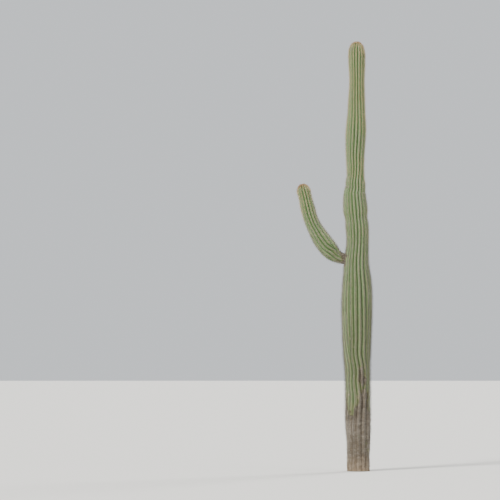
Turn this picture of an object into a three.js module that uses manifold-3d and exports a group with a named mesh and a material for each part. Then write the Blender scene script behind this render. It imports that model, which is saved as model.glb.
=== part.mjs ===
// A saguaro cactus with one arm: a tall pleated trunk, an arm that leaves it through a narrow neck
// and sweeps up beside it, and a pad of wool on each growing tip. Millimetres, +Z up. The origin is
// the middle of the flat cut at ground level, and the arm leaves towards -X.
import * as THREE from "three";
import { ParametricGeometry } from "three/addons/geometries/ParametricGeometry.js";
import { mergeVertices } from "three/addons/utils/BufferGeometryUtils.js";
import Module from "manifold-3d";

const wasm = await Module();
wasm.setup();

// Two pieces that touch stand this far apart.
const GAP = 0.3;

// A limb follows stations on its middle line, each with the radius over the rib crests. Its rounded
// head starts at the last one, and its bluntness is 2 for an ellipse and more towards a box. Ribs in
// lateRibs begin partway along the limb, one after another, and those in endingRibs stop where the
// limb grows thin.
const TRUNK = {
  stations: [
    { x: 0, y: 0, z: 0, radius: 192 },
    { x: 0, y: 0, z: 220, radius: 188 },
    { x: 4, y: 3, z: 450, radius: 191 },
    { x: -3, y: 8, z: 800, radius: 208 },
    { x: -5, y: 20, z: 1500, radius: 201 },
    { x: -16, y: 24, z: 2000, radius: 225 },
    { x: -16, y: 21, z: 2400, radius: 240 },
    { x: -13, y: 14, z: 2780, radius: 248 },
    { x: -10, y: 7, z: 3080, radius: 234 },
    { x: -18, y: 0, z: 3400, radius: 201 },
    { x: 1, y: -7, z: 3760, radius: 178 },
    { x: -7, y: -9, z: 4030, radius: 188 },
    { x: -22, y: -8, z: 4165, radius: 180 },
    { x: -30, y: -6, z: 4285, radius: 198 },
    { x: -47, y: 2, z: 4560, radius: 179 },
    { x: -29, y: 5, z: 4650, radius: 160 },
    { x: -33, y: 7, z: 4740, radius: 159 },
    { x: -30, y: 10, z: 4850, radius: 141 },
    { x: -36, y: 20, z: 5200, radius: 149 },
    { x: -22, y: 24, z: 5590, radius: 165 },
    { x: -12, y: 20, z: 5900, radius: 143 },
    { x: -7, y: 13, z: 6150, radius: 132 },
    { x: 0, y: 6, z: 6420, radius: 122 },
    { x: -2, y: 2, z: 6740, radius: 131 },
    { x: -3, y: 2, z: 6835, radius: 133 },
  ],
  headLength: 250,
  bluntness: 2.45,
  ribs: 20,
  lateRibs: [2, 9, 15, 5, 19, 12],
  firstStart: 650,
  startStep: 230,
  endingRibs: [7, 17, 0],
  firstEnd: 4480,
  endStep: 170,
  ribChange: 420,
  shallow: 0.16,
  deep: 0.5,
  deepens: [200, 1700],
  firstRibAngle: 4,
  rowStep: 205,
  woolRadius: 44,
};
const ARM = {
  stations: [
    { x: -120, y: 0, z: 3484, radius: 88 },
    { x: -231, y: -2, z: 3490, radius: 91 },
    { x: -297, y: -6, z: 3511, radius: 94 },
    { x: -364, y: -12, z: 3543, radius: 112 },
    { x: -427, y: -20, z: 3595, radius: 134 },
    { x: -490, y: -30, z: 3672, radius: 143 },
    { x: -589, y: -45, z: 3803, radius: 142 },
    { x: -671, y: -58, z: 3940, radius: 129 },
    { x: -740, y: -68, z: 4068, radius: 115 },
    { x: -788, y: -76, z: 4200, radius: 113 },
    { x: -823, y: -82, z: 4339, radius: 113 },
    { x: -854, y: -86, z: 4468, radius: 103 },
    { x: -880, y: -88, z: 4578, radius: 105 },
  ],
  headLength: 138,
  bluntness: 2.05,
  ribs: 13,
  lateRibs: [3, 11, 7],
  firstStart: 190,
  startStep: 70,
  endingRibs: [],
  firstEnd: 0,
  endStep: 0,
  ribChange: 180,
  shallow: 0.24,
  deep: 0.5,
  deepens: [120, 420],
  firstRibAngle: 90,
  rowStep: 76,
  woolRadius: 36,
};

// The arm is three pieces: the neck, the elbow where it turns upwards, and the part that rises.
// Distances are along the arm's middle line.
const NECK_END = 268;
const ELBOW_END = 570;

// A rib is a rounded crest between two sharp folds. A rib that has not begun is a flat strip at
// the bottom of a fold, and one that has nearly all its width carries spines.
const POINTS_PER_RIB = 4;
const CREST_ROUNDING = 0.7;
const UNBORN_RIB = 0.1;
const SPINY_RIB = 0.9;

const HEAD_ROWS = 7;

// The spines of an areole are a spray of three. There are fewer sprays than areoles on the real
// plant, and each spine is stouter, so that one spray stands for several areoles. The shift is the
// share of a step by which each rib's sprays stand higher than those of the rib beside it.
const SPRAY = {
  step: 760,
  shift: 0.618,
  spines: 3,
  spread: 48,
  length: 58,
  rootRadius: 3.6,
  sink: 13,
  sides: 3,
  clearOfEnds: 75,
  clearOfNeck: 210,
};

// A wool pad is a low dome on the flat top of a head.
const WOOL_RISE = 0.52;
const WOOL_SIDES = 28;
const WOOL_ROWS = 6;

const FLESH_GREEN = 0x5f7650;
const ARM_GREEN = 0x6b8257;
const WOOL_TAN = 0xb39c74;

const { degToRad, lerp, smoothstep } = THREE.MathUtils;
const Y_AXIS = new THREE.Vector3(0, 1, 0);

// Gives each station its distance along the limb.
function measure(limb) {
  let distance = 0;
  limb.stations.forEach((station, k) => {
    const last = limb.stations[k - 1] ?? station;
    distance += Math.hypot(station.x - last.x, station.y - last.y, station.z - last.z);
    station.s = distance;
  });
  limb.headStart = distance;
}
measure(TRUNK);
measure(ARM);

// The value of one of the stations' fields at distance s, on a smooth curve through them, and its slope.
function smooth({ stations }, field, s) {
  const last = stations.length - 1;
  const k = Math.min(last - 1, Math.max(0, stations.findLastIndex((p) => p.s <= s)));
  const slope = (i) => {
    const p = stations[Math.max(0, i - 1)];
    const q = stations[Math.min(last, i + 1)];
    return (q[field] - p[field]) / (q.s - p.s);
  };
  const a = stations[k][field];
  const b = stations[k + 1][field];
  const h = stations[k + 1].s - stations[k].s;
  const t = (s - stations[k].s) / h;
  const c = h * slope(k);
  const d = h * slope(k + 1);
  return {
    value: a + t * (c + t * (3 * (b - a) - 2 * c - d + t * (2 * (a - b) + c + d))),
    slope: (c + t * (2 * (3 * (b - a) - 2 * c - d) + 3 * t * (2 * (a - b) + c + d))) / h,
  };
}

// A row across the limb at distance s: its middle, its axes, and the crest radius there.
function bodyRow(limb, s) {
  const [x, y, z, radius] = ["x", "y", "z", "radius"].map((field) => smooth(limb, field, s));
  const along = new THREE.Vector3(x.slope, y.slope, z.slope).normalize();
  const across = new THREE.Vector3().crossVectors(Y_AXIS, along).normalize();
  return {
    s,
    middle: new THREE.Vector3(x.value, y.value, z.value),
    along,
    across,
    sideways: new THREE.Vector3().crossVectors(along, across),
    radius: radius.value,
    lean: 0,
  };
}

// A row of the rounded head, where phi runs from 0 at its start to half pi at its tip. The row
// leans by the angle that the head's surface faces upwards there.
function headRow(limb, phi) {
  const start = bodyRow(limb, limb.headStart);
  const power = 2 / limb.bluntness;
  const rise = limb.headLength * Math.sin(phi) ** power;
  const shrink = Math.cos(phi) ** power;
  const outward = shrink ** (limb.bluntness - 1) / start.radius;
  const upward = (rise / limb.headLength) ** (limb.bluntness - 1) / limb.headLength;
  return {
    ...start,
    s: limb.headStart + rise,
    middle: start.middle.clone().addScaledVector(start.along, rise),
    radius: start.radius * shrink,
    lean: Math.atan2(upward, outward),
  };
}

// The angle phi of the head row whose crests are at a given radius.
function phiAtRadius(limb, radius) {
  return Math.acos((radius / bodyRow(limb, limb.headStart).radius) ** (limb.bluntness / 2));
}

// How far a rib has grown at distance s, from UNBORN_RIB to 1.
function ribGrowth(limb, rib, s) {
  const late = limb.lateRibs.indexOf(rib);
  const ending = limb.endingRibs.indexOf(rib);
  const start = limb.firstStart + late * limb.startStep;
  const end = limb.firstEnd + ending * limb.endStep;
  const begun = late < 0 ? 1 : smoothstep(s, start, start + limb.ribChange);
  const ended = ending < 0 ? 0 : smoothstep(s, end, end + limb.ribChange);
  return lerp(UNBORN_RIB, 1, begun * (1 - ended));
}

// The point of a row at a number of ribs round the limb: whole numbers are folds, halves are crests.
function pleatPoint(limb, row, turn) {
  const growth = Array.from({ length: limb.ribs }, (_, rib) => ribGrowth(limb, rib, row.s));
  const total = growth.reduce((sum, g) => sum + g, 0);
  const rib = Math.floor(turn) % limb.ribs;
  const share = turn - Math.floor(turn);
  const before = growth.slice(0, rib).reduce((sum, g) => sum + g, 0);
  const angle = degToRad(limb.firstRibAngle) + (2 * Math.PI * (before + share * growth[rib])) / total;
  const height = Math.sin(Math.PI * share) ** CREST_ROUNDING * Math.sqrt(growth[rib]);
  const ribWidth = (2 * Math.PI * row.radius) / total;
  const depth = ribWidth * lerp(limb.shallow, limb.deep, smoothstep(row.s, ...limb.deepens));
  const inward = depth * (1 - height);
  const outwards = row.across
    .clone()
    .multiplyScalar(Math.cos(angle))
    .addScaledVector(row.sideways, Math.sin(angle));
  return {
    outwards,
    point: row.middle
      .clone()
      .addScaledVector(outwards, row.radius - inward * Math.cos(row.lean))
      .addScaledVector(row.along, -inward * Math.sin(row.lean)),
  };
}

// A closed three.js geometry as a solid that can be joined and cut.
function solidOf(geometry) {
  geometry.deleteAttribute("normal");
  geometry.deleteAttribute("uv");
  const merged = mergeVertices(geometry, 1e-3);
  const corners = merged.index.array;
  const kept = [];
  for (let i = 0; i < corners.length; i += 3) {
    const [a, b, c] = corners.slice(i, i + 3);
    if (a !== b && b !== c && c !== a) kept.push(a, b, c);
  }
  return new wasm.Manifold(
    new wasm.Mesh({
      numProp: 3,
      vertProperties: merged.attributes.position.array,
      triVerts: new Uint32Array(kept),
    }),
  );
}

// The rows of a limb from one distance to another. Without an end they go up over its head, to
// the flat top that the wool sits on.
function rowsBetween(limb, from, to) {
  const end = to ?? limb.headStart;
  const count = Math.ceil((end - from) / limb.rowStep);
  const rows = Array.from({ length: count + 1 }, (_, k) => bodyRow(limb, lerp(from, end, k / count)));
  if (to === undefined) {
    const top = phiAtRadius(limb, limb.woolRadius);
    for (let k = 1; k <= HEAD_ROWS; k++) rows.push(headRow(limb, (top * k) / HEAD_ROWS));
  }
  return rows;
}

// A pleated stretch of a limb with flat ends. Growing it by a little makes a tool that cuts a
// neighbour clear of it.
function pleatedSolid(limb, from, to, grow = 0) {
  const rows = rowsBetween(limb, from, to);
  const slices = limb.ribs * POINTS_PER_RIB;
  const stacks = rows.length + 1;
  const surface = (u, v, target) => {
    const stack = Math.round(v * stacks);
    const slice = Math.round(u * slices) % slices;
    const row = rows[Math.min(rows.length - 1, Math.max(0, stack - 1))];
    if (stack === 0 || stack === stacks) target.copy(row.middle);
    else target.copy(pleatPoint(limb, { ...row, radius: row.radius + grow }, slice / POINTS_PER_RIB).point);
    // The flat top of a head lies where its crests are.
    if (row.lean > 0 && stack >= rows.length) {
      const sunk = target.clone().sub(row.middle).dot(row.along);
      target.addScaledVector(row.along, -sunk);
    }
  };
  return solidOf(new ParametricGeometry(surface, slices, stacks));
}

// The spray of spines that stands on one rib's crest.
function spraySolids(limb, rib, row) {
  const { point, outwards } = pleatPoint(limb, row, rib + 0.5);
  const sideways = new THREE.Vector3().crossVectors(row.along, outwards);
  const root = point.clone().addScaledVector(outwards, -SPRAY.sink);
  return Array.from({ length: SPRAY.spines }, (_, k) => {
    const round = (2 * Math.PI * k) / SPRAY.spines;
    const spread = degToRad(SPRAY.spread);
    const aim = outwards
      .clone()
      .multiplyScalar(Math.cos(spread))
      .addScaledVector(row.along, Math.sin(spread) * Math.cos(round))
      .addScaledVector(sideways, Math.sin(spread) * Math.sin(round));
    const length = SPRAY.length + SPRAY.sink;
    const spine = new THREE.ConeGeometry(SPRAY.rootRadius, length, SPRAY.sides);
    spine.translate(0, length / 2, 0);
    spine.applyQuaternion(new THREE.Quaternion().setFromUnitVectors(Y_AXIS, aim));
    spine.translate(...root);
    return solidOf(spine);
  });
}

// Every spray on a stretch of a limb. Neighbouring ribs carry theirs at different heights, and a
// spray that would meet the end of the stretch, or the neck of the arm, is left out.
function spraysBetween(limb, from, to, besideNeck) {
  const sprays = [];
  for (let rib = 0; rib < limb.ribs; rib++) {
    const lowest = from + SPRAY.clearOfEnds + ((rib * SPRAY.shift) % 1) * SPRAY.step;
    for (let s = lowest; s < to - SPRAY.clearOfEnds; s += SPRAY.step) {
      const row = bodyRow(limb, s);
      const crest = pleatPoint(limb, row, rib + 0.5).point;
      if (ribGrowth(limb, rib, s) < SPINY_RIB || besideNeck(crest)) continue;
      sprays.push(...spraySolids(limb, rib, row));
    }
  }
  return sprays;
}

// The woolly pad on a limb's growing tip.
function woolSolid(limb) {
  const top = headRow(limb, phiAtRadius(limb, limb.woolRadius));
  const outline = [new THREE.Vector2(0, GAP)];
  for (let k = 0; k <= WOOL_ROWS; k++) {
    const phi = (Math.PI / 2) * (k / WOOL_ROWS);
    const radius = k < WOOL_ROWS ? limb.woolRadius * Math.cos(phi) : 0;
    outline.push(new THREE.Vector2(radius, GAP + limb.woolRadius * WOOL_RISE * Math.sin(phi)));
  }
  const dome = new THREE.LatheGeometry(outline, WOOL_SIDES);
  dome.applyQuaternion(new THREE.Quaternion().setFromUnitVectors(Y_AXIS, top.along));
  dome.translate(...top.middle);
  return solidOf(dome);
}

// A named mesh made from a solid.
function piece(name, solid, color, roughness) {
  const { vertProperties, triVerts } = solid.getMesh();
  const geometry = new THREE.BufferGeometry()
    .setAttribute("position", new THREE.BufferAttribute(vertProperties, 3))
    .setIndex(new THREE.BufferAttribute(triVerts, 1));
  const material = new THREE.MeshStandardMaterial({ color, roughness, metalness: 0, flatShading: true });
  const mesh = new THREE.Mesh(geometry, material);
  mesh.name = name;
  return mesh;
}

function joined(solid, additions) {
  return wasm.Manifold.union([solid, ...additions]);
}

function trunkSolid() {
  const neck = bodyRow(ARM, ARM.stations[1].s).middle;
  const besideNeck = (point) => point.distanceTo(neck) < SPRAY.clearOfNeck;
  return joined(pleatedSolid(TRUNK, 0), spraysBetween(TRUNK, 0, TRUNK.headStart, besideNeck));
}

// The neck is bare, and is cut clear of the trunk.
function neckSolid() {
  return pleatedSolid(ARM, 0, NECK_END - GAP).subtract(pleatedSolid(TRUNK, 0, undefined, 2 * GAP));
}

function elbowSolid() {
  const sprays = spraysBetween(ARM, NECK_END, ELBOW_END, () => false);
  return joined(pleatedSolid(ARM, NECK_END, ELBOW_END - GAP), sprays);
}

// The upright part has sprays up to where its head begins.
function uprightSolid() {
  const sprays = spraysBetween(ARM, ELBOW_END, ARM.headStart + SPRAY.clearOfEnds, () => false);
  return joined(pleatedSolid(ARM, ELBOW_END), sprays);
}

const cactus = new THREE.Group();
cactus.add(
  piece("trunk", trunkSolid(), FLESH_GREEN, 0.62),
  piece("trunk_wool", woolSolid(TRUNK), WOOL_TAN, 0.95),
  piece("arm_neck", neckSolid(), ARM_GREEN, 0.62),
  piece("arm_elbow", elbowSolid(), ARM_GREEN, 0.62),
  piece("arm_upright", uprightSolid(), ARM_GREEN, 0.62),
  piece("arm_wool", woolSolid(ARM), WOOL_TAN, 0.95),
);

export default cactus;
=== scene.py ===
import math
from dataclasses import dataclass, fields
from functools import partial

import bmesh
import bpy
import numpy as np
from bpy.props import FloatProperty, FloatVectorProperty, IntProperty, PointerProperty
from bpy.types import Operator, Panel, PropertyGroup
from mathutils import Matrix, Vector, noise


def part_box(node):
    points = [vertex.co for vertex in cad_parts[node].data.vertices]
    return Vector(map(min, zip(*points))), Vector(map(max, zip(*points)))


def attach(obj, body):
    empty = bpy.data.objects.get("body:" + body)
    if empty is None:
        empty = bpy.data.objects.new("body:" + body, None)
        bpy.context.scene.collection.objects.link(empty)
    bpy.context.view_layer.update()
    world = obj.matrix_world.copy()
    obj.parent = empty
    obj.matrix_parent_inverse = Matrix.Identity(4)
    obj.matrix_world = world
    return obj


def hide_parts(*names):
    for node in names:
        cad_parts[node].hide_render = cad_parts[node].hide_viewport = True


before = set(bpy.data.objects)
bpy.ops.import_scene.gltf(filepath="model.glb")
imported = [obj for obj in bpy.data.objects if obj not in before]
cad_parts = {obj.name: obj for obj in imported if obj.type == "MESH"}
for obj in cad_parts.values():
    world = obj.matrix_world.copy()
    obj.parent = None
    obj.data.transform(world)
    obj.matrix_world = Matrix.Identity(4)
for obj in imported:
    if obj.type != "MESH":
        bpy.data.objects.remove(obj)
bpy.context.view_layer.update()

bl_info = {
    "name": "Saguaro Cactus",
    "version": (1, 0, 0),
    "blender": (4, 5, 0),
    "location": "View3D > Sidebar > Saguaro",
    "description": "Builds a one-armed saguaro with pleated flesh, felted areoles, spines and woolly tips",
    "category": "Object",
}

# Lengths are in metres. A station is (x, y, z, radius over the rib crests) on a limb's middle line,
# and the rounded head of the limb starts at its last one.
TRUNK_STATIONS = (
    (0.000, 0.000, 0.000, 0.192), (0.000, 0.000, 0.220, 0.188), (0.004, 0.003, 0.450, 0.191),
    (-0.003, 0.008, 0.800, 0.208), (-0.005, 0.020, 1.500, 0.201), (-0.016, 0.024, 2.000, 0.225),
    (-0.016, 0.021, 2.400, 0.240), (-0.013, 0.014, 2.780, 0.248), (-0.010, 0.007, 3.080, 0.234),
    (-0.018, 0.000, 3.400, 0.201), (0.001, -0.007, 3.760, 0.178), (-0.007, -0.009, 4.030, 0.188),
    (-0.022, -0.008, 4.165, 0.180), (-0.030, -0.006, 4.285, 0.198), (-0.047, 0.002, 4.560, 0.179),
    (-0.029, 0.005, 4.650, 0.160), (-0.033, 0.007, 4.740, 0.159), (-0.030, 0.010, 4.850, 0.141),
    (-0.036, 0.020, 5.200, 0.149), (-0.022, 0.024, 5.590, 0.165), (-0.012, 0.020, 5.900, 0.143),
    (-0.007, 0.013, 6.150, 0.132), (0.000, 0.006, 6.420, 0.122), (-0.002, 0.002, 6.740, 0.131),
    (-0.003, 0.002, 6.835, 0.133),
)
ARM_STATIONS = (
    (-0.120, 0.000, 3.484, 0.088), (-0.231, -0.002, 3.490, 0.091), (-0.297, -0.006, 3.511, 0.094),
    (-0.364, -0.012, 3.543, 0.112), (-0.427, -0.020, 3.595, 0.134), (-0.490, -0.030, 3.672, 0.143),
    (-0.589, -0.045, 3.803, 0.142), (-0.671, -0.058, 3.940, 0.129), (-0.740, -0.068, 4.068, 0.115),
    (-0.788, -0.076, 4.200, 0.113), (-0.823, -0.082, 4.339, 0.113), (-0.854, -0.086, 4.468, 0.103),
    (-0.880, -0.088, 4.578, 0.105),
)

# Areoles stand this far apart along a crest, those of one rib halfway between those of the next.
# The flesh has two rows of vertices to each, so that its crests swell at every areole. The swelling
# dies out over a share of the rib's width, and over the start of the head.
AREOLE_STEP = 0.025
ROW_STEP = AREOLE_STEP / 2
AREOLE_SWELL = 0.0012
SWELL_SHARE = 0.2
SWELL_END = 0.1

# Shares of a rib's width, from fold to fold, at which its cross-section has points.
RIB_SHARES = (0.0, 0.07, 0.2, 0.35, 0.5, 0.65, 0.8, 0.93)
CREST = 0.5
CREST_ROUNDING = 0.7
UNBORN_RIB = 0.1
SPINY_RIB = 0.75

# Ribs grow a little wider and narrower along a limb, over lengths of two kinds, and all of them
# wind to and fro, by an angle over a length.
RIB_SWAY = 0.07
SWAY_LENGTHS = (0.31, 0.83)
WINDINGS = ((0.03, 0.7), (0.02, 0.27))

# The trunk's skin swells round the root of the arm, its ribs are shallow there, and no areole
# stands as near to it as NECK_CLEAR.
NECK_ROOT = Vector((-0.2, 0.0, 3.482))
NECK_SWELL = 0.014
NECK_REACH = 0.11
NECK_FLATTENS = 0.55
NECK_CLEAR = 0.105

# The trunk is all cork below the first height and has none above the second, but for tongues and
# patches that shift this edge. The collar of cork round the arm's root fades between two radii.
CORK_EDGE = (0.45, 1.5)
TONGUES = 0.85
PATCHES = 0.35
COLLAR_EDGE = (0.09, 0.135)
COLLAR_CORK = 0.62

# The arm's neck turns to cork between these places along X.
NECK_EDGE = (-0.38, -0.2)
NECK_CORK = 0.68

# The heights of the relief of the skin.
LUMP_HEIGHT = 0.0028
ROLL_HEIGHT = 0.005
KNOB_HEIGHT = 0.0022

# The trunk's spines and pads are divided at these heights, so that no piece is too large. Near the
# ground there are none, and the arm's start at a place along X.
ZONES = (("foot", 0.0, 1.9), ("belly", 1.9, 3.4), ("column", 3.4, 5.1), ("head", 5.1, 9.0))
LOWEST_AREOLE = 0.06
LOWEST_TIP = 0.004
ARM_AREOLES_START = -0.27

# A spine piece has two slots for each tone from the oldest to the freshest: the spine and its tip.
# A tone starts where an areole's freshness passes its mark.
TONES = ("charcoal", "ash", "dust", "straw", "russet")
TONE_STARTS = (0.16, 0.4, 0.62, 0.93)
FELT_STARTS = (0.3, 0.75)
SPINE_TIP = 0.3

# The felt of a tip rises so far over its middle, which lies a share of that below its box's.
WOOL_RISE = 0.027
WOOL_SINKS = 0.75
HAIR_LENGTHS = (0.005, 0.011)
HAIR_RADIUS = 0.00035

Y_AXIS = np.array((0.0, 1.0, 0.0))


def unit(vectors):
    return vectors / np.linalg.norm(vectors, axis=-1, keepdims=True)


def smoothstep(x, low, high):
    t = np.clip((x - low) / (high - low), 0, 1)
    return t * t * (3 - 2 * t)


def linear(hex_colour):
    """A colour written as sRGB hex, as the linear red, green, blue and alpha that Blender works in."""
    parts = [(hex_colour >> shift & 255) / 255 for shift in (16, 8, 0)]
    return (*(c / 12.92 if c <= 0.04045 else ((c + 0.055) / 1.055) ** 2.4 for c in parts), 1.0)


def noise_at(points, size, octaves=3, offset=0.0):
    """Smooth noise from about -1 to 1, with features of a given size, at each of an array of points."""
    flat = points.reshape(-1, 3) / size + offset
    values = [noise.fractal(Vector(p), 1.0, 2.0, octaves) for p in flat]
    return np.array(values).reshape(points.shape[:-1])


@dataclass
class Rows:
    """Rows across a limb: the distance of each along the limb and over the skin, its middle, its
    axes, its crest radius, and how far its surface leans back from facing sideways."""

    s: np.ndarray
    over_skin: np.ndarray
    middle: np.ndarray
    along: np.ndarray
    radius: np.ndarray
    lean: np.ndarray

    def __post_init__(self):
        self.across = unit(np.cross(Y_AXIS, self.along))
        self.sideways = np.cross(self.along, self.across)


@dataclass
class Limb:
    """A pleated limb along stations on its middle line. Its head has a bluntness of 2 if it is an
    ellipse, and more towards a box. Some ribs begin or end at distances along it. The depth of the
    folds, a share of a rib's width, goes from shallow to deep between two distances."""

    stations: tuple
    head_length: float
    bluntness: float
    ribs: int
    begins: dict
    ends: dict
    rib_change: float
    shallow: float
    deep: float
    deepens: tuple
    first_rib_angle: float
    seed: int

    def __post_init__(self):
        self.places, self.radius = np.array(self.stations)[:, :3], np.array(self.stations)[:, 3]
        steps = np.linalg.norm(np.diff(self.places, axis=0), axis=1)
        self.distance = np.concatenate(([0], np.cumsum(steps)))
        self.head_start = self.distance[-1]
        self.phases = np.random.RandomState(self.seed).uniform(0, 2 * math.pi, self.ribs)

    def smooth(self, values, s):
        """The stations' values at distances s, on a smooth curve through them, and its slope."""
        values = values.reshape(len(values), -1)
        last = len(values) - 1
        before = np.maximum(np.arange(last + 1) - 1, 0)
        after = np.minimum(np.arange(last + 1) + 1, last)
        slopes = (values[after] - values[before]) / (self.distance[after] - self.distance[before])[:, None]
        k = np.clip(np.searchsorted(self.distance, s, side="right") - 1, 0, last - 1)
        h = (self.distance[k + 1] - self.distance[k])[:, None]
        t = (s - self.distance[k])[:, None] / h
        a, b, c, d = values[k], values[k + 1], h * slopes[k], h * slopes[k + 1]
        square, cube = 3 * (b - a) - 2 * c - d, 2 * (a - b) + c + d
        value = a + t * (c + t * (square + t * cube))
        slope = (c + t * (2 * square + 3 * t * cube)) / h
        return value, slope

    def body_rows(self, s):
        middle, along = self.smooth(self.places, s)
        radius, _ = self.smooth(self.radius, s)
        return Rows(s, s, middle, unit(along), radius[:, 0], np.zeros_like(s))

    def head_rows(self, phi, over_skin):
        """Rows of the rounded head, where phi runs from 0 at its start to half pi at its tip."""
        start = self.body_rows(np.full_like(phi, self.head_start))
        power = 2 / self.bluntness
        rise = self.head_length * np.sin(phi) ** power
        shrink = np.cos(phi) ** power
        outward = shrink ** (self.bluntness - 1) / start.radius
        upward = (rise / self.head_length) ** (self.bluntness - 1) / self.head_length
        middle = start.middle + start.along * rise[:, None]
        lean = np.arctan2(upward, outward)
        return Rows(self.head_start + rise, self.head_start + over_skin, middle, start.along,
                    start.radius * shrink, lean)

    def rows(self):
        """Rows at every ROW_STEP over the skin, from the limb's root to its tip."""
        count = round(self.head_start / ROW_STEP)
        body = self.body_rows(np.linspace(0, self.head_start, count + 1))
        fine = np.linspace(0, math.pi / 2, 500)
        profile = self.head_rows(fine, fine)
        steps = np.hypot(np.diff(profile.radius), np.diff(profile.s))
        over_skin = np.concatenate(([0], np.cumsum(steps)))
        marks = np.linspace(0, over_skin[-1], round(over_skin[-1] / ROW_STEP) + 1)[1:]
        head = self.head_rows(np.interp(marks, over_skin, fine), marks)
        return Rows(*(np.concatenate((getattr(body, field.name), getattr(head, field.name)))
                      for field in fields(Rows)))

    def growth(self, s):
        """How far each rib has grown at distances s, a row for each distance."""
        grown = np.empty((len(s), self.ribs))
        for rib, phase in enumerate(self.phases):
            share = np.ones_like(s)
            if rib in self.begins:
                share = smoothstep(s, self.begins[rib], self.begins[rib] + self.rib_change)
            if rib in self.ends:
                share = 1 - smoothstep(s, self.ends[rib], self.ends[rib] + self.rib_change)
            short, long = SWAY_LENGTHS
            sway = 1 + RIB_SWAY * np.sin(s / short + phase) * np.sin(s / long + 2 * phase)
            grown[:, rib] = (UNBORN_RIB + (1 - UNBORN_RIB) * share) * sway
        return grown

    def skin(self, rows, turns):
        """The skin's points for each row, at numbers of ribs round the limb: whole numbers are
        folds and halves are crests. Also how high each point stands above the fold beside it."""
        growth = self.growth(rows.s)
        total = growth.sum(axis=1)
        rib = np.floor(turns).astype(int) % self.ribs
        share = turns - np.floor(turns)
        before = np.concatenate((np.zeros((len(rows.s), 1)), np.cumsum(growth, axis=1)), axis=1)
        whole_turns = np.floor(turns / self.ribs)
        round_limb = (before[:, rib] + share * growth[:, rib]) / total[:, None] + whole_turns
        winding = sum(angle * np.sin(rows.s / length) for angle, length in WINDINGS)
        angle = math.radians(self.first_rib_angle) + 2 * math.pi * round_limb + winding[:, None]
        outwards = (rows.across[:, None] * np.cos(angle)[..., None]
                    + rows.sideways[:, None] * np.sin(angle)[..., None])
        height = np.sin(math.pi * share) ** CREST_ROUNDING * np.sqrt(np.minimum(growth[:, rib], 1))
        rib_width = 2 * math.pi * rows.radius / total
        deepened = smoothstep(rows.s, *self.deepens)
        depth = rib_width * (self.shallow + (self.deep - self.shallow) * deepened)
        neck = self.neck_share(rows, outwards)
        inward = depth[:, None] * (1 - height) * (1 - NECK_FLATTENS * neck)
        areole = np.cos(2 * math.pi * rows.over_skin[:, None] / AREOLE_STEP + math.pi * rib)
        crest = np.clip(1 - np.abs(share - CREST) / SWELL_SHARE, 0, 1)
        on_body = 1 - smoothstep(rows.s, self.head_start, self.head_start + SWELL_END)
        swell = NECK_SWELL * neck + AREOLE_SWELL * areole * crest * on_body[:, None]
        outward = rows.radius[:, None] + swell - inward * np.cos(rows.lean)[:, None]
        points = (rows.middle[:, None] + outwards * outward[..., None]
                  - rows.along[:, None] * (inward * np.sin(rows.lean)[:, None])[..., None])
        return points, outwards, height

    def neck_share(self, rows, outwards):
        return np.zeros(outwards.shape[:2])


class Trunk(Limb):
    """The trunk, whose skin swells where the arm leaves it."""

    def neck_share(self, rows, outwards):
        skin = rows.middle[:, None] + outwards * rows.radius[:, None, None]
        aside = skin - np.array(NECK_ROOT)
        near = np.exp(-(aside[..., 1] ** 2 + aside[..., 2] ** 2) / NECK_REACH ** 2)
        return near * (outwards[..., 0] < 0)


TRUNK = Trunk(
    TRUNK_STATIONS, head_length=0.25, bluntness=2.45, ribs=20,
    begins={2: 0.65, 9: 0.88, 15: 1.11, 5: 1.34, 19: 1.57, 12: 1.8},
    ends={7: 4.48, 17: 4.65, 0: 4.82}, rib_change=0.42,
    shallow=0.16, deep=0.5, deepens=(0.2, 1.7), first_rib_angle=4, seed=11,
)
ARM = Limb(
    ARM_STATIONS, head_length=0.138, bluntness=2.05, ribs=13,
    begins={3: 0.19, 11: 0.26, 7: 0.33}, ends={}, rib_change=0.18,
    shallow=0.24, deep=0.5, deepens=(0.12, 0.42), first_rib_angle=90, seed=12,
)

# The woolly pad of each tip: its node, its limb, its radius and the number of its hairs.
WOOLS = (("trunk_wool", TRUNK, 0.05, 2400), ("arm_wool", ARM, 0.04, 1700))


def trunk_cork(points):
    """How corky the trunk is at each point, from 0 to 1: all over its foot, from where it reaches up
    some ribs in tongues, and where the arm leaves."""
    tongues = TONGUES * noise_at(points * (1, 1, 0.3), 0.17, 3, offset=3.1)
    patches = PATCHES * noise_at(points, 0.12, 3, offset=8.8)
    foot = 1 - smoothstep(points[..., 2] + tongues + patches, *CORK_EDGE)
    ragged = 0.05 * noise_at(points, 0.06, 3, offset=2.2)
    aside = np.hypot(points[..., 1], points[..., 2] - NECK_ROOT.z) + ragged
    collar = (1 - smoothstep(aside, *COLLAR_EDGE)) * (points[..., 0] < NECK_ROOT.x / 2)
    return np.maximum(foot, COLLAR_CORK * collar)


def arm_cork(points):
    """How corky the arm's neck is at each point, from 0 to 1."""
    ragged = 0.1 * noise_at(points, 0.08, 4, offset=7.3)
    return NECK_CORK * smoothstep(points[..., 0] + ragged, *NECK_EDGE)


def relief(points, outwards, cork):
    """The skin's points moved by broad lumps, and by the rolls and knobs of the cork."""
    lumps = LUMP_HEIGHT * noise_at(points, 0.3, 3)
    rolls = ROLL_HEIGHT * noise_at(points * (1, 1, 3.2), 0.12, 3, offset=5.7)
    knobs = KNOB_HEIGHT * noise_at(points * (1, 1, 1.6), 0.035, 2, offset=1.9)
    return points + outwards * (lumps + (rolls + knobs) * cork)[..., None]


# MATERIALS

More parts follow.
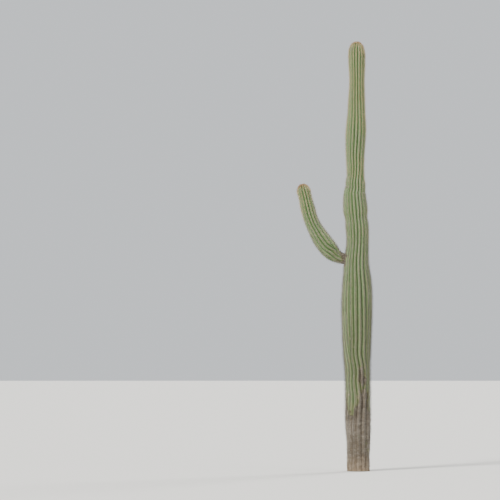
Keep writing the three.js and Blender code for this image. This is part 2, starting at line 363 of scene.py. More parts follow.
# The sizes of the patterns on the skin, and the heights of its bumps.
PATCH_SIZE = 0.35
BAND_SIZE = 0.16
MOTTLE_SIZE = 0.045
SPECK_SIZE = 0.0035
STREAK_SIZE = 0.009
SCAR_SIZE = 0.05
GRAIN_SIZE = 0.004
FOLD_SIZE = 0.13
DEEP_FOLD_SIZE = 0.05
WRINKLE_SIZE = 0.03
SPLIT_SIZE = 0.045
OPEN_SPLIT_SIZE = 0.07
BLOTCH_SIZE = 0.07
WEATHER_SIZE = 0.09
GRIT_SIZE = 0.012
EDGE_SIZE = 0.007
DUST_HEIGHT = 0.3
GRAIN_BUMP = 0.0006
CORK_BUMP = 0.005
SCAR_BUMP = 0.0012

# The felt of a tip is matted in tufts.
TUFT_SIZE = 0.008
TUFT_BUMP = 0.002


def node(tree, kind, inputs=(), **settings):
    """Adds a node with its settings. Its inputs are named, or in the order of its sockets in use.
    Each gets a value, or a link from an output or from the first output of a node."""
    made = tree.nodes.new("ShaderNode" + kind)
    for name, value in settings.items():
        setattr(made, name, value)
    if isinstance(inputs, dict):
        sockets = [made.inputs[name] for name in inputs]
        inputs = inputs.values()
    else:
        sockets = [socket for socket in made.inputs if socket.enabled]
    for socket, value in zip(sockets, inputs):
        if isinstance(value, bpy.types.Node):
            value = next(output for output in value.outputs if output.enabled)
        if isinstance(value, bpy.types.NodeSocket):
            tree.links.new(value, socket)
        else:
            socket.default_value = value
    return made


def new_material(name):
    material = bpy.data.materials.new(name)
    material.use_nodes = True
    material.node_tree.nodes.clear()
    return material, material.node_tree


def layered(tree, colour, layers):
    """A colour with others laid over it in turn. Each layer is how much of it shows, and its colour."""
    for shows, over in layers:
        colour = node(tree, "Mix", (shows, colour, over), data_type="RGBA")
    return colour


def grains(tree, place, size, detail, roughness=0.6, shorter=1.0, distortion=0.0):
    """A pattern from 0 to 1 about 0.5, with features of a given size, which are a number of times
    shorter along the limb."""
    shrunk = node(tree, "Mapping", {"Vector": place, "Scale": (1.0, 1.0, shorter)})
    return node(tree, "TexNoise", {"Vector": shrunk, "Scale": 1 / size, "Detail": detail,
                                   "Roughness": roughness, "Distortion": distortion})


def creases(tree, place, size, detail, distortion, shorter):
    """A pattern of winding lines about a size apart: 0 on them, and 0.1 well away."""
    field = grains(tree, place, size, detail, 0.5, shorter, distortion)
    from_line = node(tree, "Math", (field, 0.5), operation="SUBTRACT")
    return node(tree, "Math", (from_line,), operation="ABSOLUTE")


def living_skin(tree, place, crest, age, patches, mottle, colours):
    """The colour of the living skin, and where it is scarred."""
    add = partial(node, tree)
    # A year's growth leaves a faint band round the limb.
    along = add("SeparateXYZ", (place,)).outputs["Z"]
    bands = add("TexNoise", {"W": along, "Scale": 1 / BAND_SIZE, "Detail": 3.0}, noise_dimensions="1D")
    uneven = add("Math", (patches, 0.9, -0.45), operation="MULTIPLY_ADD")
    banded = add("Math", (bands, 0.5, uneven), operation="MULTIPLY_ADD")
    varied = add("Math", (banded, 0.25), operation="SUBTRACT")
    aged = add("Math", (age, varied), operation="ADD", use_clamp=True)
    green = add("Mix", (aged, colours.young_skin, colours.old_skin), data_type="RGBA")

    # The wax lies in specks of a few millimetres, and runs of rain have left it in faint streaks.
    # The crests are sunburnt, and the folds are darkened with painted shade.
    specks = grains(tree, place, SPECK_SIZE, 2.0)
    streaks = grains(tree, place, STREAK_SIZE, 3.0, shorter=0.07)
    high = add("MapRange", (crest, 0.72, 1.0, 0.0, 0.8))
    sunburnt = add("Math", (high, add("MapRange", (mottle, 0.35, 0.6))), operation="MULTIPLY")

    # Scars are rare on young skin. They are taller than wide, and paler in the middle.
    rarity = add("MapRange", (age, 0.0, 1.0, 0.71, 0.6))
    wounds = grains(tree, place, SCAR_SIZE, 5.0, 0.55, shorter=0.55)
    above = add("Math", (wounds, rarity), operation="SUBTRACT")
    scarred = add("Math", (above, 22.0), operation="MULTIPLY", use_clamp=True)
    middle = add("Math", (above, 9.0), operation="MULTIPLY", use_clamp=True)
    healed = add("Mix", (middle, colours.scar, colours.cork_pale), data_type="RGBA")

    skin = layered(tree, green, (
        (add("MapRange", (mottle, 0.4, 0.75, 0.0, 0.6)), colours.wax_bloom),
        (add("MapRange", (specks, 0.5, 0.72, 0.0, 0.5)), colours.wax_bloom),
        (add("MapRange", (streaks, 0.48, 0.72, 0.0, 0.4)), colours.fold_shade),
        (sunburnt, colours.crest_tan),
        # Painted shade: the skin darkens towards the folds between the ribs.
        (add("MapRange", (crest, 0.75, 0.0, 0.0, 0.75)), colours.fold_shade),
        (scarred, healed),
    ))
    return skin, scarred


def corky_skin(tree, place, crest, patches, colours):
    """The colour of the cork, and the height of its rolls and grit. It is gritty, creased round the
    limb like old hide, and split lengthways here and there. Painted shade darkens it towards the folds."""
    add = partial(node, tree)
    folds = creases(tree, place, FOLD_SIZE, 4.0, 0.5, shorter=4.5)
    wrinkles = creases(tree, place, WRINKLE_SIZE, 4.0, 0.5, shorter=2.0)
    splits = creases(tree, place, SPLIT_SIZE, 2.0, 0.3, shorter=0.3)
    grit = grains(tree, place, GRIT_SIZE, 4.0, 0.8, shorter=1.2)
    weathered = grains(tree, place, WEATHER_SIZE, 7.0, 0.72, shorter=1.3)
    blotches = grains(tree, place, BLOTCH_SIZE, 5.0, 0.68, shorter=0.7)

    darker = add("Math", (weathered, 0.4), operation="SUBTRACT")
    tone = add("Math", (patches, 0.8, darker), operation="MULTIPLY_ADD")
    # Folds are deeper in some places, and splits are open only in others.
    deeper = add("MapRange", (grains(tree, place, DEEP_FOLD_SIZE, 3.0), 0.42, 0.65, 0.05, 0.6))
    creased = add("Math", (add("MapRange", (folds, 0.034, 0.0)), deeper), operation="MULTIPLY")
    opened = add("MapRange", (grains(tree, place, OPEN_SPLIT_SIZE, 3.0), 0.45, 0.62))
    split = add("Math", (add("MapRange", (splits, 0.022, 0.0, 0.0, 0.75)), opened), operation="MULTIPLY")
    standing = add("TexCoord").outputs["Object"]
    height = add("SeparateXYZ", (standing,)).outputs["Z"]
    bark = layered(tree, colours.cork_dark, (
        (add("MapRange", (tone, 0.36, 0.66)), colours.cork_pale),
        (add("MapRange", (blotches, 0.5, 0.66, 0.0, 0.6)), colours.scar),
        (add("MapRange", (wrinkles, 0.06, 0.0, 0.0, 0.12)), colours.cork_crack),
        (add("MapRange", (grit, 0.48, 0.3, 0.0, 0.9)), colours.cork_crack),
        (add("MapRange", (grit, 0.52, 0.68, 0.0, 0.6)), colours.cork_pale),
        (creased, colours.cork_crack),
        (split, colours.cork_crack),
        (add("MapRange", (height, DUST_HEIGHT, 0.0, 0.0, 0.5)), colours.dust),
        # Painted shade: the cork darkens towards the folds, in the colour of its cracks.
        (add("MapRange", (crest, 0.5, 0.0, 0.0, 0.6)), colours.cork_crack),
    ))

    rolled = add("MapRange", (folds, 0.0, 0.1, 0.0, 2.0))
    wrinkled = add("MapRange", (wrinkles, 0.0, 0.1, 0.0, 0.7))
    rolls = add("Math", (rolled, wrinkled), operation="ADD")
    gritty = add("Math", (grit, 3.0, rolls), operation="MULTIPLY_ADD")
    lumpy = add("Math", (weathered, 3.6, gritty), operation="MULTIPLY_ADD")
    return bark, add("Math", (lumpy, split), operation="SUBTRACT")


def waxy_skin(name, colours):
    """Living saguaro skin: a tough green cuticle under a dull wax, so it is a matt to satin
    surface, with painted shade in the folds. Scars are brown, and the oldest skin has turned to cork."""
    material, tree = new_material(name)
    add = partial(node, tree)
    place = add("Attribute", attribute_name="straight").outputs["Vector"]
    crest, age, cork = (add("Attribute", attribute_name=kind).outputs["Fac"]
                        for kind in ("crest", "age", "cork"))
    patches = grains(tree, place, PATCH_SIZE, 3.0)
    mottle = grains(tree, place, MOTTLE_SIZE, 6.0, 0.62)
    living, scarred = living_skin(tree, place, crest, age, patches, mottle, colours)
    bark, rolls = corky_skin(tree, place, crest, patches, colours)

    # The edge of the cork is ragged and runs up the crests, and the skin beside it is stained.
    ragged = add("Math", (mottle, 1.1, -0.55), operation="MULTIPLY_ADD")
    speckled = add("Math", (grains(tree, place, EDGE_SIZE, 3.0), 0.6, ragged), operation="MULTIPLY_ADD")
    ridged = add("Math", (crest, 0.14, speckled), operation="MULTIPLY_ADD")
    reach = add("Math", (cork, ridged), operation="ADD")
    stained = add("MapRange", (reach, 0.4, 0.84, 0.0, 0.85))
    corky = add("MapRange", (reach, 0.76, 0.94))
    surface = layered(tree, living, ((stained, colours.stain), (corky, bark)))

    waxy = add("MapRange", (mottle, 0.3, 0.7, 0.48, 0.66))
    duller = add("MapRange", (corky, 0.0, 1.0, 0.0, 0.34))
    roughness = add("Math", (waxy, duller), operation="ADD")

    grain = grains(tree, place, GRAIN_SIZE, 3.0)
    fine = add("Bump", {"Height": grain, "Distance": GRAIN_BUMP, "Strength": 0.7})
    raised = add("Math", (rolls, corky), operation="MULTIPLY")
    rough = add("Bump", {"Height": raised, "Distance": CORK_BUMP, "Normal": fine})
    scabs = add("Bump", {"Height": scarred, "Distance": SCAR_BUMP, "Strength": 0.8, "Normal": rough})
    shader = add("BsdfPrincipled",
                 {"Base Color": surface, "Roughness": roughness, "IOR": 1.45, "Normal": scabs})
    add("OutputMaterial", {"Surface": shader})
    return material


def plain_finish(name, colour, roughness):
    """Horn or felt of one even colour, for what is small and many. A whole spray of spines wears
    one finish, so that the sprays differ and not the faces. Several pieces share it."""
    if name in bpy.data.materials:
        return bpy.data.materials[name]
    material, tree = new_material(name)
    shader = node(tree, "BsdfPrincipled",
                  {"Base Color": colour, "Roughness": roughness, "IOR": 1.54})
    node(tree, "OutputMaterial", {"Surface": shader})
    return material


def felted_wool(name, colours):
    """The felt of a growing tip: matted fine hairs, dull and pale, stained brown in patches."""
    material, tree = new_material(name)
    place = node(tree, "TexCoord").outputs["Object"]
    tufts = grains(tree, place, TUFT_SIZE, 6.0, 0.7)
    clean = node(tree, "MapRange", (tufts, 0.35, 0.7))
    tone = node(tree, "Mix", (clean, colours.wool_stain, colours.wool), data_type="RGBA")
    hairs = node(tree, "Bump", {"Height": tufts, "Distance": TUFT_BUMP})
    shader = node(tree, "BsdfPrincipled",
                  {"Base Color": tone, "Roughness": 0.95, "Sheen Weight": 0.4, "Sheen Roughness": 0.5,
                   "Normal": hairs})
    node(tree, "OutputMaterial", {"Surface": shader})
    return material


def spine_finishes(colours):
    """The finishes of a spine piece, in the order of TONES."""
    finishes = []
    for tone in TONES:
        finishes.append(plain_finish(tone + "_spine", getattr(colours, "spine_" + tone), 0.55))
        finishes.append(plain_finish(tone + "_spine_tip", getattr(colours, "tip_" + tone), 0.5))
    return finishes


def felt_finishes(colours):
    """The finishes of the felt pads, from the oldest to the freshest."""
    return [plain_finish(age + "_felt", getattr(colours, "felt_" + age), 0.95)
            for age in ("old", "grown", "young")]


# MESHES


def stored(name, mesh):
    """A finished bmesh as one of Blender's meshes."""
    made = bpy.data.meshes.new(name)
    mesh.to_mesh(made)
    mesh.free()
    return made


def shown(name, data):
    """An object in the scene: a mesh, a light or a camera."""
    made = bpy.data.objects.new(name, data)
    bpy.context.scene.collection.objects.link(made)
    return made


def add_piece(name, mesh, materials, replaced=()):
    """Shows a mesh as a piece of the plant, with the given materials in its slots, under the root body, and
    hides the parts that it replaces.
    """
    piece = shown(name, mesh)
    for material in materials:
        mesh.materials.append(material)
    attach(piece, "root")
    if replaced:
        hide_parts(*replaced)
    return piece


def flesh_mesh(name, limb, cork_at, age_at):
    """A limb's skin: a grid wrapped round its middle line, pleated, then closed at both ends."""
    rows = limb.rows()
    turns = np.array([rib + share for rib in range(limb.ribs) for share in RIB_SHARES] + [limb.ribs])
    points, outwards, height = limb.skin(rows, turns)
    cork = cork_at(points)
    points = relief(points, outwards, cork)
    points[:, -1] = points[:, 0]
    points[-1] = points[-1].mean(axis=0)
    stands_on_ground = abs(rows.middle[0, 2]) < ROW_STEP
    if stands_on_ground:
        points[0, :, 2] = 0

    # Where each point would be if the limb were straight, so that patterns follow it.
    aside = points - rows.middle[:, None]
    axes = np.stack((rows.across, rows.sideways, rows.along), 1)
    straight = np.einsum("rpk,rak->rpa", aside, axes)
    straight[..., 2] += rows.s[:, None]

    mesh = bmesh.new()
    bmesh.ops.create_grid(mesh, x_segments=len(turns) - 1, y_segments=len(rows.s) - 1, size=1)
    layers = [mesh.verts.layers.float.new(kind) for kind in ("crest", "cork", "age")]
    straight_layer = mesh.verts.layers.float_vector.new("straight")
    values = np.stack((height, cork, age_at(points)), -1).reshape(-1, len(layers)).tolist()
    places = zip(points.reshape(-1, 3), straight.reshape(-1, 3))
    for vert, (point, line), numbers in zip(mesh.verts, places, values):
        vert.co = point
        vert[straight_layer] = line
        for layer, number in zip(layers, numbers):
            vert[layer] = number
    bmesh.ops.remove_doubles(mesh, verts=mesh.verts, dist=1e-5)
    bmesh.ops.dissolve_degenerate(mesh, dist=1e-6, edges=mesh.edges)
    bmesh.ops.holes_fill(mesh, edges=[e for e in mesh.edges if e.is_boundary])
    bmesh.ops.recalc_face_normals(mesh, faces=mesh.faces)
    for face in mesh.faces:
        face.smooth = len(face.verts) <= 4
    return stored(name, mesh)


class Pattern:
    """A small closed shape that is repeated: its points, its triangles and their material slots."""

    def __init__(self, mesh, slot_of_face):
        bmesh.ops.triangulate(mesh, faces=mesh.faces)
        mesh.verts.index_update()
        self.points = np.array([v.co for v in mesh.verts])
        self.triangles = np.array([[v.index for v in f.verts] for f in mesh.faces])
        self.slots = np.array([slot_of_face(f) for f in mesh.faces])
        mesh.free()


def spine_pattern(tip_share):
    """A straight three-sided spine of length 1 and radius 1 along +Z. A share of it at the tip,
    if any, wears the second slot."""
    mesh = bmesh.new()
    bmesh.ops.create_cone(mesh, cap_ends=True, segments=3, radius1=1, radius2=0, depth=1)
    bmesh.ops.translate(mesh, verts=mesh.verts, vec=(0, 0, 0.5))
    bmesh.ops.remove_doubles(mesh, verts=mesh.verts, dist=1e-5)
    if tip_share:
        everything = mesh.verts[:] + mesh.edges[:] + mesh.faces[:]
        bmesh.ops.bisect_plane(mesh, geom=everything, plane_co=(0, 0, 1 - tip_share), plane_no=(0, 0, 1))
        # The spine keeps most of its thickness up to where its tip begins.
        for vert in mesh.verts:
            if 0 < vert.co.z < 1:
                vert.co.xy *= 2.4
    return Pattern(mesh, lambda face: int(bool(tip_share) and face.calc_center_median().z > 1 - tip_share))


def pad_pattern():
    """A felt pad: a ball of radius 1 with 12 faces."""
    mesh = bmesh.new()
    bmesh.ops.create_uvsphere(mesh, u_segments=6, v_segments=2, radius=1)
    return Pattern(mesh, lambda face: 0)


def repeated_mesh(name, batches):
    """One mesh of many copies. Each batch is (pattern, origins, axes, slot offsets), where a copy's
    three axes carry its size."""
    all_points, all_triangles, all_slots, count = [], [], [], 0
    for pattern, origins, axes, offsets in batches:
        points = np.einsum("pk,nkj->npj", pattern.points, axes) + origins[:, None]
        starts = count + np.arange(len(origins)) * len(pattern.points)
        all_points.append(points.reshape(-1, 3))
        all_triangles.append((pattern.triangles[None] + starts[:, None, None]).reshape(-1, 3))
        all_slots.append((pattern.slots[None] + offsets[:, None]).reshape(-1))
        count += points.shape[0] * points.shape[1]
    points, triangles = np.concatenate(all_points), np.concatenate(all_triangles)
    mesh = bpy.data.meshes.new(name)
    mesh.vertices.add(len(points))
    mesh.vertices.foreach_set("co", points.astype(np.float32).ravel())
    mesh.loops.add(triangles.size)
    mesh.loops.foreach_set("vertex_index", triangles.astype(np.int32).ravel())
    mesh.polygons.add(len(triangles))
    mesh.polygons.foreach_set("loop_start", np.arange(0, triangles.size, 3, dtype=np.int32))
    mesh.polygons.foreach_set("material_index", np.concatenate(all_slots).astype(np.int32))
    mesh.polygons.foreach_set("use_smooth", np.ones(len(triangles), bool))
    mesh.update(calc_edges=True)
    mesh.validate()
    return mesh


@dataclass
class Areoles:
    """Areoles: their places, and the ways up, sideways and out of the skin there. Fine ones carry
    bristles instead of stout spines, and fresh ones have not weathered yet."""

    place: np.ndarray
    up: np.ndarray
    sideways: np.ndarray
    out: np.ndarray
    fine: np.ndarray
    fresh: np.ndarray

    def kept(self, wanted):
        """The areoles for which wanted is true."""
        return Areoles(*(getattr(self, field.name)[wanted] for field in fields(Areoles)))


def areoles_of(limb, cork_at, fine_at, fresh_at):
    """Every areole of a limb, on every second row of a rib's crest, and closer together on its head.
    None stands on a rib that has hardly begun, or on the woolly tip."""
    rows = limb.rows()
    points, outwards, _ = limb.skin(rows, np.arange(limb.ribs) + CREST)
    points = relief(points, outwards, cork_at(points))
    up = unit(np.gradient(points, axis=0))
    sideways = unit(np.cross(rows.along[:, None], outwards))
    out = unit(np.cross(sideways, up))
    row_number = np.arange(len(rows.s))[:, None] + np.arange(limb.ribs)
    wanted = (row_number % 2 == 0) | (rows.s[:, None] > limb.head_start)
    bare_tip_radius = 0.018
    wanted &= (limb.growth(rows.s) > SPINY_RIB) & (rows.radius > bare_tip_radius)[:, None]
    tip = np.broadcast_to(smoothstep(rows.lean, 0.1, 1.0)[:, None], wanted.shape)[wanted]
    place = points[wanted]
    fine = np.maximum(fine_at(place[:, 2]), tip)
    fresh = fresh_at(place[:, 2]) + 0.35 * tip
    return Areoles(place, up[wanted], sideways[wanted], out[wanted], fine, fresh)


def areole_zones():
    """The name, the areoles and the name of the flesh that carries them, for each zone, in the order that
    they are built.
    """
    trunk = areoles_of(
        TRUNK, trunk_cork,
        fine_at=lambda height: smoothstep(height, 2.3, 4.3),
        fresh_at=lambda height: 0.75 * smoothstep(height, 1.5, 6.6),
    )
    aside = trunk.place - np.array(NECK_ROOT)
    clear = (np.hypot(aside[:, 1], aside[:, 2]) > NECK_CLEAR) | (aside[:, 0] > 0.1)
    trunk = trunk.kept(clear & (trunk.place[:, 2] > LOWEST_AREOLE))
    heights = trunk.place[:, 2]
    zones = []
    for name, low, high in ZONES:
        inside = (heights >= low) & (heights < high)
        zones.append(("trunk_" + name, trunk.kept(inside), "trunk_flesh"))
    arm = areoles_of(
        ARM, arm_cork,
        fine_at=lambda height: np.full_like(height, 0.85),
        fresh_at=lambda height: 0.25 + 0.45 * smoothstep(height, 3.5, 4.6),
    )
    zones.append(("arm", arm.kept(arm.place[:, 0] < ARM_AREOLES_START), "arm_flesh"))
    return zones


def tone_offsets(areoles, random):
    """The slot offset of each areole. Neighbours are much alike."""
    score = areoles.fresh + 0.22 * noise_at(areoles.place, 0.35, 3, offset=9.4)
    score += random.normal(0, 0.07, len(areoles.fresh))
    return 2 * np.searchsorted(TONE_STARTS, score)


def spine_axes(aim, length, radius, random):
    """The axes of spines that point along aim, turned at random about it."""
    helper = unit(random.normal(size=aim.shape))
    first = unit(np.cross(aim, helper))
    second = np.cross(aim, first)
    return np.stack((first * radius[:, None], second * radius[:, None], aim * length[:, None]), 1)


def spine_batch(areoles, pattern, number, polar, azimuth, length, radius, random):
    """Spines at angles from straight out, turned by azimuth from upwards. Old ones near the ground
    are worn short, and many of them have gone."""
    out, up, sideways = areoles.out[number], areoles.up[number], areoles.sideways[number]
    level = up * np.cos(azimuth)[:, None] + sideways * np.sin(azimuth)[:, None]
    aim = out * np.cos(polar)[:, None] + level * np.sin(polar)[:, None]
    whole = smoothstep(areoles.place[number, 2], 0.0, 1.3)
    length = length * (0.45 + 0.55 * whole) * random.uniform(0.7, 1.1, len(number))
    roots = areoles.place[number] + out * 0.001
    there = random.uniform(0, 1, len(number)) < 0.35 + 0.65 * whole
    there &= (roots + aim * length[:, None])[:, 2] > LOWEST_TIP
    axes = spine_axes(aim, length, radius, random)
    return pattern, roots[there], axes[there], tone_offsets(areoles, random)[number][there]


def evenly_round(areoles, each):
    """The areole of every spine, if each has so many, and the spines' even angles round it."""
    count = len(areoles.place)
    return np.repeat(np.arange(count), each), np.tile(np.arange(each) / each, count) * 2 * math.pi


def central_spines(areoles, sizes, random):
    """The stout spines of each areole. The first is the longest and points down and out."""
    number, evenly = evenly_round(areoles, sizes.centrals)
    first = evenly == 0
    fine = areoles.fine[number]
    azimuth = np.where(first, math.pi, evenly + random.normal(0, 0.5, len(number)))
    azimuth += random.normal(0, 0.3, len(number))
    polar = np.radians(np.where(first, 50 - 10 * fine, 36) + random.normal(0, 9, len(number)))
    length = sizes.central_length * (1 - 0.36 * fine) * np.where(first, 1.0, 0.75)
    radius = sizes.spine_width / 2 * (1 - 0.36 * fine)
    return spine_batch(areoles, spine_pattern(SPINE_TIP), number, polar, azimuth, length, radius, random)


def radial_spines(areoles, sizes, random):
    """The thin spines that spread round each areole."""
    number, evenly = evenly_round(areoles, sizes.radials)
    fine = areoles.fine[number]
    azimuth = evenly + random.uniform(0, 2 * math.pi, len(areoles.place))[number]
    azimuth += random.normal(0, 0.2, len(number))
    polar = np.radians(72 - 14 * fine + random.normal(0, 9, len(number)))
    length = np.full(len(number), sizes.radial_length)
    radius = sizes.spine_width / 2 * (0.55 - 0.07 * fine)
    return spine_batch(areoles, spine_pattern(0), number, polar, azimuth, length, radius, random)


def pad_batch(areoles, pad_width, random):
    """Felt pads, a little taller than wide. Those near the ground are worn, and some have gone."""
    lost = 1 - smoothstep(areoles.place[:, 2], 0.3, 1.4)
    areoles = areoles.kept(random.uniform(0, 1, len(lost)) > 0.45 * lost)
    worn = 1 - smoothstep(areoles.place[:, 2], 0.2, 1.3)
    half = pad_width / 2 * (1 - 0.4 * worn) * random.uniform(0.75, 1.1, len(worn))
    ways = (areoles.sideways * half[:, None],
            areoles.up * (half * 1.25)[:, None],
            areoles.out * (half * (0.6 - 0.2 * worn))[:, None])
    tone = np.searchsorted(FELT_STARTS, areoles.fresh + random.normal(0, 0.1, len(areoles.fresh)))
    return pad_pattern(), areoles.place, np.stack(ways, 1), tone


def wool_mesh(name, along, radius, fuzz, random):
    """A pad of felt on a tip: a ball squashed to a dome, drawn out into tufts, and set with
    short hairs."""
    low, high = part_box(name)
    base = np.array((low + high) / 2) - along * WOOL_RISE * WOOL_SINKS
    first = unit(np.cross(Y_AXIS, along))
    axes = np.stack((first, np.cross(along, first), along))
    size = (radius, radius, WOOL_RISE)
    mesh = bmesh.new()
    bmesh.ops.create_icosphere(mesh, subdivisions=5, radius=1)
    ball = np.array([v.co for v in mesh.verts])
    tufts = 1 + 0.16 * noise_at(ball, 0.22, 4, offset=1.3)
    for vert, place in zip(mesh.verts, ball * tufts[:, None] * size @ axes + base):
        vert.co = place

    upward = unit(random.normal(size=(fuzz, 3)))
    upward[:, 2] = np.abs(upward[:, 2])
    roots = upward * size * 0.94
    aim = unit(upward * (1, 1, 0.9) + random.normal(0, 0.5, (fuzz, 3)) + (0, 0, 0.3))
    lengths = random.uniform(*HAIR_LENGTHS, fuzz)
    hair_axes = spine_axes(aim @ axes, lengths, np.full(fuzz, HAIR_RADIUS), random)
    hairs = (spine_pattern(0), roots @ axes + base, hair_axes, np.zeros(fuzz, int))
    mesh.from_mesh(repeated_mesh(name + "_hairs", [hairs]))
    for face in mesh.faces:
        face.smooth = True
    return stored(name, mesh)


# SETTINGS


def colour_setting(name, description, hex_colour):
    return FloatVectorProperty(name=name, description=description, default=linear(hex_colour),
                               subtype="COLOR", size=4, min=0, max=1)


def length_setting(name, description, default):
    return FloatProperty(name=name, description=description, default=default, unit="LENGTH")


class SaguaroSizes(PropertyGroup):
    """Sizes of the small things on the skin."""

    centrals: IntProperty(name="Central spines", description="Stout spines on an areole", default=4, min=1)
    radials: IntProperty(name="Radial spines", description="Thin spines round an areole", default=13, min=1)
    central_length: length_setting("Central length", "Length of the longest spine", 0.056)
    radial_length: length_setting("Radial length", "Length of a radial spine", 0.025)
    spine_width: length_setting("Spine width", "Thickness of a stout spine at its root", 0.0028)
    pad_width: length_setting("Felt pad width", "Width of an areole's felt", 0.013)


class SaguaroColours(PropertyGroup):
    """Colours of the skin, the spines and the wool."""

    young_skin: colour_setting("Young skin", "Fresh skin near the tips", 0x4F6B37)
    old_skin: colour_setting("Old skin", "Skin low on the trunk", 0x5A623E)
    wax_bloom: colour_setting("Wax bloom", "Where the wax is thick", 0x6F8364)
    crest_tan: colour_setting("Crest tan", "The sunburnt skin along the crests", 0x7C7A4E)
    # Painted shade for the folds, which also tints the streaks left by rain.
    fold_shade: colour_setting("Fold shade", "The sheltered skin in a fold", 0x354A24)
    scar: colour_setting("Scar", "The rim of healed wounds", 0x5D4F3A)
    stain: colour_setting("Stain", "Skin that is turning to cork", 0x6F6744)
    cork_pale: colour_setting("Pale cork", "Weathered cork", 0x958B7C)
    cork_dark: colour_setting("Dark cork", "Fresh cork", 0x5F5546)
    # Also used as painted shade in the folds of the cork.
    cork_crack: colour_setting("Cork crack", "Cracks in the cork", 0x463C31)
    dust: colour_setting("Dust", "Soil dust on the foot", 0x92795B)
    felt_young: colour_setting("Young felt", "Areole felt near the tips", 0xB59E74)
    felt_grown: colour_setting("Grown felt", "Areole felt on grown skin", 0x8E8370)
    felt_old: colour_setting("Old felt", "Weathered areole felt", 0x685D50)
    spine_charcoal: colour_setting("Charcoal spine", "The oldest spines", 0x77726A)
    tip_charcoal: colour_setting("Charcoal tip", "Tips of the oldest spines", 0x4A443D)
    spine_ash: colour_setting("Ash spine", "Weathered spines", 0x9C968B)
    tip_ash: colour_setting("Ash tip", "Tips of weathered spines", 0x645C52)
    spine_dust: colour_setting("Dust spine", "Spines that start to weather", 0xB3A992)
    tip_dust: colour_setting("Dust tip", "Their tips", 0x7C6D58)
    spine_straw: colour_setting("Straw spine", "Grown spines", 0xC7B588)
    tip_straw: colour_setting("Straw tip", "Tips of grown spines", 0x8D6D48)
    spine_russet: colour_setting("Russet spine", "Young spines", 0xAE8B60)
    tip_russet: colour_setting("Russet tip", "Tips of young spines", 0x70472E)
    wool: colour_setting("Wool", "Felt on the growing tips", 0xC9B48A)
    wool_stain: colour_setting("Wool stain", "Darker patches of the felt", 0x8C7048)


class SaguaroStage(PropertyGroup):
    """The camera, the floor and the lights."""

    distance: length_setting("Camera distance", "From the camera to the trunk", 33)
    eye_height: length_setting("Eye height", "Height of the camera", 1.6)
    half_view: FloatProperty(
        name="Half angle of view", description="From the picture's middle to its edge",
        default=math.radians(7.125), subtype="ANGLE")
    floor: colour_setting("Floor", "The pale floor", 0xD5D2CB)
    sky: colour_setting("Surround", "The pale light from all round", 0xE4E8EC)
    key_strength: FloatProperty(name="Key light", description="Strength of the main light", default=5.6)


class SAGUARO_OT_trunk(Operator):
    """Builds the trunk's flesh, from its corky foot to its tip."""

    bl_idname = "saguaro.trunk"
    bl_label = "Trunk"

    def execute(self, context):
        old_up_to = 0.8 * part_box("trunk")[1].z
        skin = waxy_skin("trunk_waxy_skin", context.scene.saguaro_colours)
        mesh = flesh_mesh("trunk_flesh", TRUNK, trunk_cork,
                          age_at=lambda points: 1 - smoothstep(points[..., 2], 0.6, old_up_to))
        add_piece("trunk_flesh", mesh, [skin], ["trunk"])
        return {"FINISHED"}


class SAGUARO_OT_arm(Operator):
    """Builds the arm's flesh, with its neck set into the trunk."""

    bl_idname = "saguaro.arm"
    bl_label = "Arm"

    def execute(self, context):
        skin = waxy_skin("arm_waxy_skin", context.scene.saguaro_colours)
        mesh = flesh_mesh("arm_flesh", ARM, arm_cork,
                          age_at=lambda points: 0.45 * (1 - smoothstep(points[..., 2], 3.6, 4.5)))
        add_piece("arm_flesh", mesh, [skin], ["arm_neck", "arm_elbow", "arm_upright"])
        return {"FINISHED"}


class SAGUARO_OT_areoles(Operator):
    """Sets a pad of felt at every areole."""

    bl_idname = "saguaro.areoles"
    bl_label = "Areoles"

    def execute(self, context):
        finishes = felt_finishes(context.scene.saguaro_colours)
        pad_width = context.scene.saguaro_sizes.pad_width
        random = np.random.RandomState(21)
        for name, areoles, slot in areole_zones():
            mesh = repeated_mesh("areoles_" + name, [pad_batch(areoles, pad_width, random)])
            add_piece("areoles_" + name, mesh, finishes)
        return {"FINISHED"}


class SAGUARO_OT_spines(Operator):
    """Sets central and radial spines at every areole."""

    bl_idname = "saguaro.spines"
    bl_label = "Spines"

    def execute(self, context):
        sizes = context.scene.saguaro_sizes
        finishes = spine_finishes(context.scene.saguaro_colours)
        random = np.random.RandomState(22)
        for name, areoles, slot in areole_zones():
            batches = [make(areoles, sizes, random) for make in (central_spines, radial_spines)]
            add_piece("spines_" + name, repeated_mesh("spines_" + name, batches), finishes)
        return {"FINISHED"}


class SAGUARO_OT_wool(Operator):
    """Puts the woolly pads on both growing tips."""

    bl_idname = "saguaro.wool"
    bl_label = "Wool"

    def execute(self, context):
        wool = felted_wool("felted_wool", context.scene.saguaro_colours)
        random = np.random.RandomState(23)
        for name, limb, radius, hairs in WOOLS:
            mesh = wool_mesh(name, limb.rows().along[-1], radius, hairs, random)
            add_piece(name + "_felt", mesh, [wool], [name])
        return {"FINISHED"}


class SAGUARO_OT_stage(Operator):
    """Sets out the floor, the lights and the camera of the photographed view."""

    bl_idname = "saguaro.stage"
    bl_label = "Stage"

    def execute(self, context):
        stage = context.scene.saguaro_stage
        lay_floor(stage)
        light_scene(context.scene, stage)
        place_camera(context.scene, stage)
        return {"FINISHED"}


# STAGE

FLOOR_RADIUS = 400

# Each light: its name, the place that it shines from, how many degrees wide it looks, and its
# share of the key light's strength.
LIGHTS = (
    ("key", (-8, -10, 9), 12, 1.0),
    ("fill", (9, -6, 4), 40, 0.14),
    ("rim", (6, 8, 6), 20, 0.5),
)

# Where the foot of the trunk is in the picture, and the size of the picture, in pixels.
PICTURE = 500
FOOT_PIXEL = (357.8, 471)

# The width of the camera's sensor in millimetres, and how far it sees.
SENSOR_WIDTH = 36
FAR_LIMIT = 2000


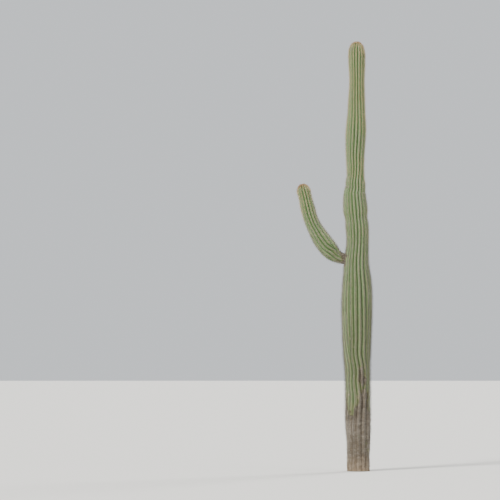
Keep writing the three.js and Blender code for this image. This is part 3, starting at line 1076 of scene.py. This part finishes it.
def lay_floor(stage):
    """The pale, smooth and matt floor of a studio, far wider than the view."""
    mesh = bmesh.new()
    bmesh.ops.create_circle(mesh, cap_ends=True, segments=96, radius=FLOOR_RADIUS)
    floor = shown("floor", stored("floor", mesh))
    material, tree = new_material("pale_studio_floor")
    shader = node(tree, "BsdfPrincipled", {"Base Color": stage.floor, "Roughness": 0.9})
    node(tree, "OutputMaterial", {"Surface": shader})
    floor.data.materials.append(material)


def light_scene(scene, stage):
    """Even pale light from all round, with a lamp for each of LIGHTS."""
    world = bpy.data.worlds.new("pale_surround")
    world.use_nodes = True
    world.node_tree.nodes.clear()
    glow = node(world.node_tree, "Background", {"Color": stage.sky, "Strength": 1.0})
    node(world.node_tree, "OutputWorld", {"Surface": glow})
    scene.world = world
    for name, place, spread, share in LIGHTS:
        lamp = bpy.data.lights.new(name, "SUN")
        lamp.angle = math.radians(spread)
        lamp.energy = stage.key_strength * share
        shown(name, lamp).rotation_euler = (-Vector(place)).to_track_quat("-Z", "Y").to_euler()


def place_camera(scene, stage):
    """The photographed view: from eye height, turned so that the foot falls on its own pixel."""
    focal = PICTURE / 2 / math.tan(stage.half_view)
    data = bpy.data.cameras.new("photo_view")
    data.sensor_width = SENSOR_WIDTH
    data.lens = SENSOR_WIDTH / 2 / math.tan(stage.half_view)
    data.clip_end = FAR_LIMIT
    camera = shown("photo_view", data)
    camera.location = (0, -stage.distance, stage.eye_height)
    left = math.atan((FOOT_PIXEL[0] - PICTURE / 2) / focal)
    foot_below = math.atan((FOOT_PIXEL[1] - PICTURE / 2) / focal)
    up = foot_below - math.atan(stage.eye_height / stage.distance)
    camera.rotation_euler = (math.pi / 2 + up, 0, left)
    scene.camera = camera


class SAGUARO_PT_panel(Panel):
    """Lists the steps that build the plant."""

    bl_label = "Saguaro"
    bl_idname = "SAGUARO_PT_panel"
    bl_space_type = "VIEW_3D"
    bl_region_type = "UI"
    bl_category = "Saguaro"

    def draw(self, context):
        for step in STEPS:
            self.layout.operator(step.bl_idname)


STEPS = (SAGUARO_OT_stage, SAGUARO_OT_trunk, SAGUARO_OT_arm, SAGUARO_OT_areoles, SAGUARO_OT_spines,
         SAGUARO_OT_wool)
CLASSES = (SaguaroSizes, SaguaroColours, SaguaroStage, *STEPS, SAGUARO_PT_panel)


def register():
    for cls in CLASSES:
        bpy.utils.register_class(cls)
    bpy.types.Scene.saguaro_sizes = PointerProperty(type=SaguaroSizes)
    bpy.types.Scene.saguaro_colours = PointerProperty(type=SaguaroColours)
    bpy.types.Scene.saguaro_stage = PointerProperty(type=SaguaroStage)


def unregister():
    del bpy.types.Scene.saguaro_stage
    del bpy.types.Scene.saguaro_colours
    del bpy.types.Scene.saguaro_sizes
    for cls in reversed(CLASSES):
        bpy.utils.unregister_class(cls)


def main():
    register()
    bpy.ops.saguaro.stage()
    bpy.ops.saguaro.trunk()
    bpy.ops.saguaro.arm()
    bpy.ops.saguaro.areoles()
    bpy.ops.saguaro.spines()
    bpy.ops.saguaro.wool()


if __name__ == "__main__":
    main()
